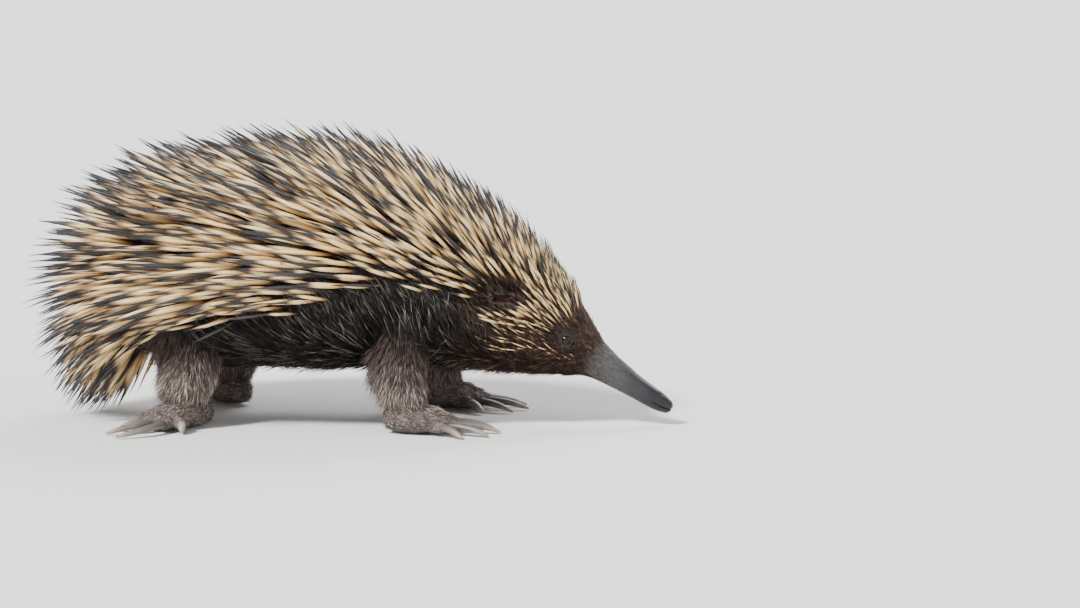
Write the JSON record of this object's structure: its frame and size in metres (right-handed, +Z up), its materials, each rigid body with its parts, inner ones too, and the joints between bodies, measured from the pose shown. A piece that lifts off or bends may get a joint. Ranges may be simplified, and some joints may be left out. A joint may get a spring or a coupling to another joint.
{
  "type": "short-beaked echidna",
  "caption": "Life-size still model of a short-beaked echidna standing on its feet, with spines, fur, a slender beak and long claws.",
  "frame": {"origin": "on the floor under the middle of the model's box, between the four feet", "axes": "+X towards the beak, +Y to the animal's left, +Z up; the soles rest at z = 0"},
  "size_m": [0.3695, 0.2086, 0.162],
  "materials": {
    "spiny_coat": "horny cream spines with dark tips over black-brown fur",
    "head_fur": "short black-brown fur with pale hairs",
    "leg_fur": "short grey-brown fur over grey skin",
    "beak_skin": "smooth grey-black skin, slightly moist sheen",
    "ear_skin": "dark bare skin under short fur",
    "claw_horn": "grey-beige horn, semi-matte, darker at the root",
    "eye_bead": "wet black"
  },
  "bodies": {
    "root": {"tail": "spiny_coat", "torso": "spiny_coat", "head": "head_fur", "beak": "beak_skin", "eye_left": "eye_bead", "ear_left": "ear_skin", "front_leg_left": "leg_fur", "claw_front_left_1": "claw_horn", "claw_front_left_2": "claw_horn", "claw_front_left_3": "claw_horn", "claw_front_left_4": "claw_horn", "claw_front_left_5": "claw_horn", "hind_leg_left": "leg_fur", "claw_hind_left_1": "claw_horn", "claw_hind_left_2": "claw_horn", "claw_hind_left_3": "claw_horn", "claw_hind_left_4": "claw_horn", "claw_hind_left_5": "claw_horn", "eye_right": "eye_bead", "ear_right": "ear_skin", "front_leg_right": "leg_fur", "claw_front_right_1": "claw_horn", "claw_front_right_2": "claw_horn", "claw_front_right_3": "claw_horn", "claw_front_right_4": "claw_horn", "claw_front_right_5": "claw_horn", "hind_leg_right": "leg_fur", "claw_hind_right_1": "claw_horn", "claw_hind_right_2": "claw_horn", "claw_hind_right_3": "claw_horn", "claw_hind_right_4": "claw_horn", "claw_hind_right_5": "claw_horn"}
  },
  "joints": []
}
